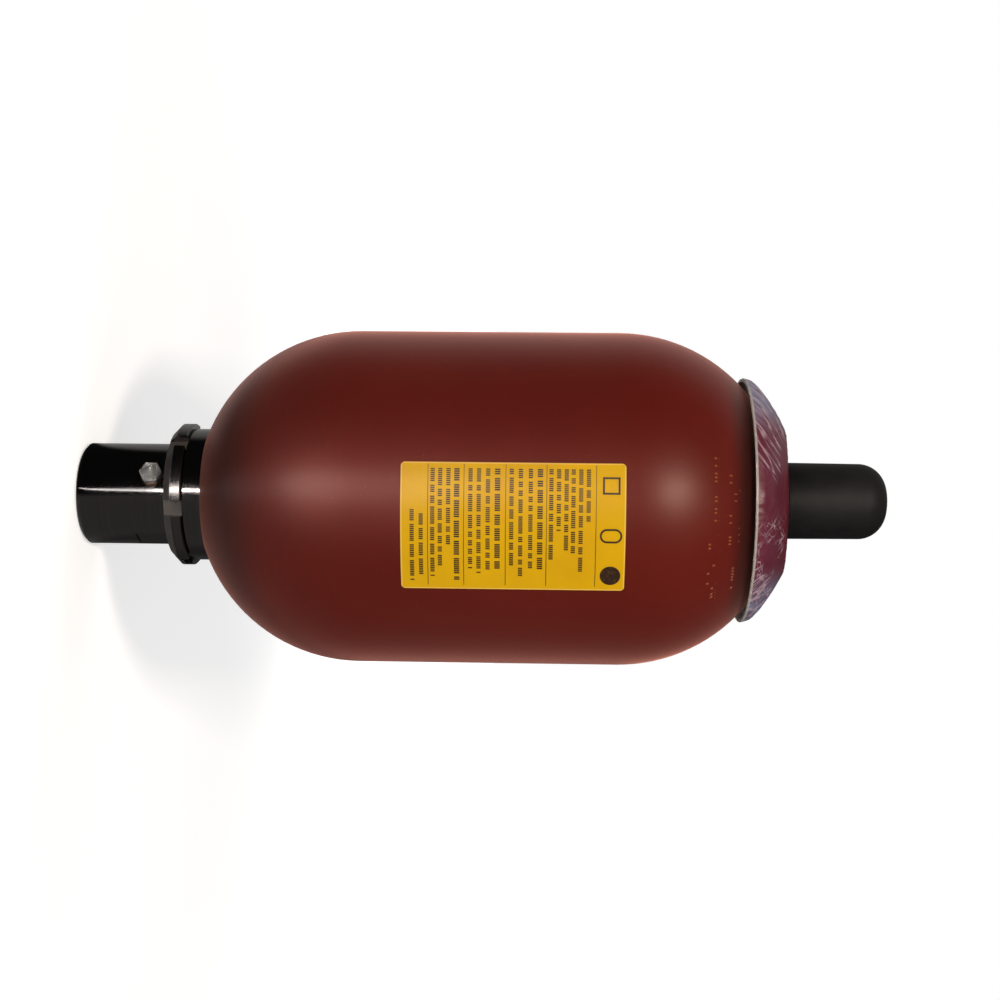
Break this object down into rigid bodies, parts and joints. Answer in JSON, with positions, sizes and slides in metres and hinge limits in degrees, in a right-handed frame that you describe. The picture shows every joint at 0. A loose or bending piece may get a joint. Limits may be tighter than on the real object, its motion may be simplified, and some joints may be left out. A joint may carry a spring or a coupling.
{
  "type": "bladder accumulator",
  "caption": "Upright bladder accumulator: forged steel vessel with a threaded fluid port and poppet valve below, gas valve under a dished plate and a rubber cap above.",
  "frame": {"origin": "centre of the fluid port's end face, on which the vessel stands", "axes": "+Z along the vessel's axis from the fluid port to the gas valve; the label faces about -Y"},
  "size_m": [0.17, 0.1704, 0.4107],
  "materials": {
    "shell_paint": "satin red-oxide primer",
    "black_steel": "gloss black",
    "steel": "machined",
    "zinc_steel": "bright zinc",
    "spring_steel": "drawn wire",
    "copper_seal": "satin",
    "seal_rubber": "satin",
    "bladder_rubber": "matte",
    "cap_rubber": "matte",
    "ptfe": "satin",
    "core_brass": "machined",
    "plate_metal": "satin",
    "film": "gloss, crinkled",
    "label_yellow": "semi-gloss",
    "print_black": "matte"
  },
  "bodies": {
    "vessel": {"shell": "shell_paint", "oil_valve_body": "black_steel", "poppet_spring": "spring_steel", "retaining_ring_halves": "steel", "retaining_ring_rubber": "seal_rubber", "seal_washer": "steel", "port_o_ring": "seal_rubber", "support_ring": "ptfe", "spacer_ring": "black_steel", "port_lock_nut": "black_steel", "bladder": "bladder_rubber", "gas_valve_stem": "steel", "valve_core_body": "core_brass", "valve_core_spring": "spring_steel", "data_plate": "plate_metal", "protective_film": "film", "stem_lock_nut": "zinc_steel", "cap_seal_ring": "seal_rubber", "cap_nut": "zinc_steel", "label": "label_yellow", "label_print": "print_black"},
    "poppet": {"valve_plate": "steel", "damping_sleeve": "steel", "poppet_lock_nut": "zinc_steel"},
    "core_pin": {"valve_core_pin": "core_brass", "valve_core_seal": "seal_rubber"},
    "rubber_cap": {"protection_cap": "cap_rubber"},
    "vent_seal": {"vent_seal_ring": "copper_seal"},
    "vent_bolt": {"vent_screw": "zinc_steel"}
  },
  "joints": [
    {"name": "poppet_slide", "type": "slide", "parent": "vessel", "child": "poppet", "axis": [0, 0, -1], "range_m": [0, 0.008], "stiffness_N_per_m": 2500, "springref_m": -0.004, "deforming": ["poppet_spring"]},
    {"name": "core_pin_press", "type": "slide", "parent": "vessel", "child": "core_pin", "axis": [0, 0, -1], "range_m": [0, 0.002], "stiffness_N_per_m": 300, "springref_m": -0.0005, "deforming": ["valve_core_spring"]},
    {"name": "rubber_cap_pull", "type": "slide", "parent": "vessel", "child": "rubber_cap", "axis": [0, 0, 1], "range_m": [0, 0.06]},
    {"name": "vent_seal_travel", "type": "slide", "parent": "vessel", "child": "vent_seal", "axis": [-0.3907, -0.9205, 0], "range_m": [0, 0.00101]},
    {"name": "vent_screw_turn", "type": "hinge", "parent": "vent_seal", "child": "vent_bolt", "pos_m": [0, 0, 0.0382], "axis": [-0.3907, -0.9205, 0], "range_deg": [0, 360]}
  ],
  "couplings": [
    {"joint": "vent_seal_travel", "follows": "vent_screw_turn", "m_per_rad": 0.00015915}
  ]
}
